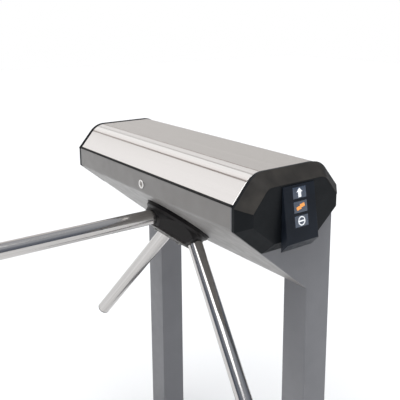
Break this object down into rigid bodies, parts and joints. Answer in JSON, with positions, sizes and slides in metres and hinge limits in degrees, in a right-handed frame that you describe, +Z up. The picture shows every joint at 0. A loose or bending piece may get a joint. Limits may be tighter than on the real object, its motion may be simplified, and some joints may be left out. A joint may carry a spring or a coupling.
{
  "type": "visitor counter turnstile",
  "caption": "Tripod turnstile: tilted hub with radial tube arms under a long sheet-metal housing on box columns, with hinged cover and display end caps.",
  "frame": {"origin": "centre of the part's bounding box, on the floor", "axes": "+X along the housing towards the end seen nearest, -Y the passage side that the level arm points to, +Z up"},
  "size_m": [0.814, 0.714, 1.0415],
  "materials": {
    "column_paint": "satin powder coat",
    "housing_paint": "satin powder coat",
    "brushed_cover": "brushed",
    "gasket": "matt",
    "hinge_steel": "satin",
    "lock_chrome": "polished",
    "zinc_steel": "zinc plated",
    "cap_plastic": "fine moulded texture",
    "visor_plastic": "coarse moulded texture",
    "tile_glass": "glossy",
    "board_green": "solder mask",
    "hub_black": "satin powder coat",
    "arm_steel": "fine brushed",
    "plug_plastic": "moulded",
    "machined_steel": "machined",
    "cast_housing": "cast",
    "gear_brass": "machined",
    "solenoid_blue": "enamel",
    "supply_case": "sheet"
  },
  "bodies": {
    "stand": {"left_leg": "column_paint", "right_leg": "column_paint", "left_foot": "column_paint", "right_foot": "column_paint", "housing_shell": "housing_paint", "left_end_plate": "column_paint", "right_end_plate": "column_paint", "cover_gasket": "gasket", "hinge_leaf": "hinge_steel", "hinge_pin": "hinge_steel", "lock_body": "lock_chrome", "lock_nut": "zinc_steel", "left_cap": "cap_plastic", "right_cap": "cap_plastic", "left_visor": "visor_plastic", "right_visor": "visor_plastic", "left_display": "cap_plastic", "right_display": "cap_plastic", "left_tiles": "tile_glass", "right_tiles": "tile_glass", "left_display_board": "board_green", "right_display_board": "board_green", "cap_screws": "zinc_steel", "mechanism_plate": "zinc_steel", "plate_posts": "zinc_steel", "plate_nuts": "zinc_steel", "bearing_housing": "cast_housing", "front_bearing": "machined_steel", "rear_bearing": "machined_steel", "damper_body": "plug_plastic", "centring_spring": "zinc_steel", "gear_bracket": "zinc_steel", "solenoids": "solenoid_blue", "sensor_board": "board_green", "control_board": "board_green", "power_supply": "supply_case"},
    "cover": {"top_cover": "brushed_cover", "hinge_flap": "hinge_steel"},
    "lock_barrel": {"lock_plug": "lock_chrome", "lock_cam": "zinc_steel"},
    "hub": {"hub_body": "hub_black", "nose_plate": "hub_black", "nose_screws": "zinc_steel", "arm_1": "arm_steel", "arm_2": "arm_steel", "arm_3": "arm_steel", "arm_plugs": "plug_plastic", "arm_pins": "zinc_steel", "main_shaft": "machined_steel", "shaft_screws": "zinc_steel", "lock_disc": "machined_steel", "drive_gear": "gear_brass", "encoder_disc": "plug_plastic", "shaft_nut": "zinc_steel"},
    "crank": {"crank_gear": "gear_brass"},
    "damper": {"damper_gear": "plug_plastic"},
    "left_pawl": {"left_pawl": "machined_steel"},
    "right_pawl": {"right_pawl": "machined_steel"},
    "left_plunger": {"left_plunger": "zinc_steel"},
    "right_plunger": {"right_plunger": "zinc_steel"}
  },
  "joints": [
    {"name": "cover_hinge", "type": "hinge", "parent": "stand", "child": "cover", "pos_m": [0, 0.35299, 0.9805], "axis": [-1, 0, 0], "range_deg": [0, 80]},
    {"name": "lock_turn", "type": "hinge", "parent": "stand", "child": "lock_barrel", "pos_m": [-0.004, 0.05499, 0.947], "axis": [0, -1, 0], "range_deg": [0, 90]},
    {"name": "hub_spin", "type": "hinge", "parent": "stand", "child": "hub", "pos_m": [-0.024, 0.19301, 0.84935], "axis": [0, -0.6428, -0.766], "continuous": true},
    {"name": "crank_spin", "type": "hinge", "parent": "stand", "child": "crank", "pos_m": [0.048, 0.26886, 0.93974], "axis": [0, -0.6428, -0.766], "continuous": true, "deforming": ["centring_spring"]},
    {"name": "damper_spin", "type": "hinge", "parent": "stand", "child": "damper", "pos_m": [-0.093, 0.26886, 0.93974], "axis": [0, -0.6428, -0.766], "continuous": true},
    {"name": "right_pawl_swing", "type": "hinge", "parent": "stand", "child": "right_pawl", "pos_m": [0.06596, 0.22664, 0.94515], "axis": [0, -0.6428, -0.766], "range_deg": [0, 11], "stiffness_Nm_per_rad": 0.5, "springref_deg": -2.86},
    {"name": "left_pawl_swing", "type": "hinge", "parent": "stand", "child": "left_pawl", "pos_m": [-0.11396, 0.22664, 0.94515], "axis": [0, 0.6428, 0.766], "range_deg": [0, 11], "stiffness_Nm_per_rad": 0.5, "springref_deg": -2.86},
    {"name": "right_plunger_pull", "type": "slide", "parent": "stand", "child": "right_plunger", "axis": [0.5, -0.6634, 0.5567], "range_m": [0, 0.00615]},
    {"name": "left_plunger_pull", "type": "slide", "parent": "stand", "child": "left_plunger", "axis": [-0.5, -0.6634, 0.5567], "range_m": [0, 0.00615]}
  ],
  "couplings": [
    {"joint": "crank_spin", "follows": "hub_spin", "ratio": -3},
    {"joint": "damper_spin", "follows": "hub_spin", "ratio": -3.6},
    {"joint": "right_plunger_pull", "follows": "right_pawl_swing", "m_per_rad": 0.032},
    {"joint": "left_plunger_pull", "follows": "left_pawl_swing", "m_per_rad": 0.032}
  ]
}
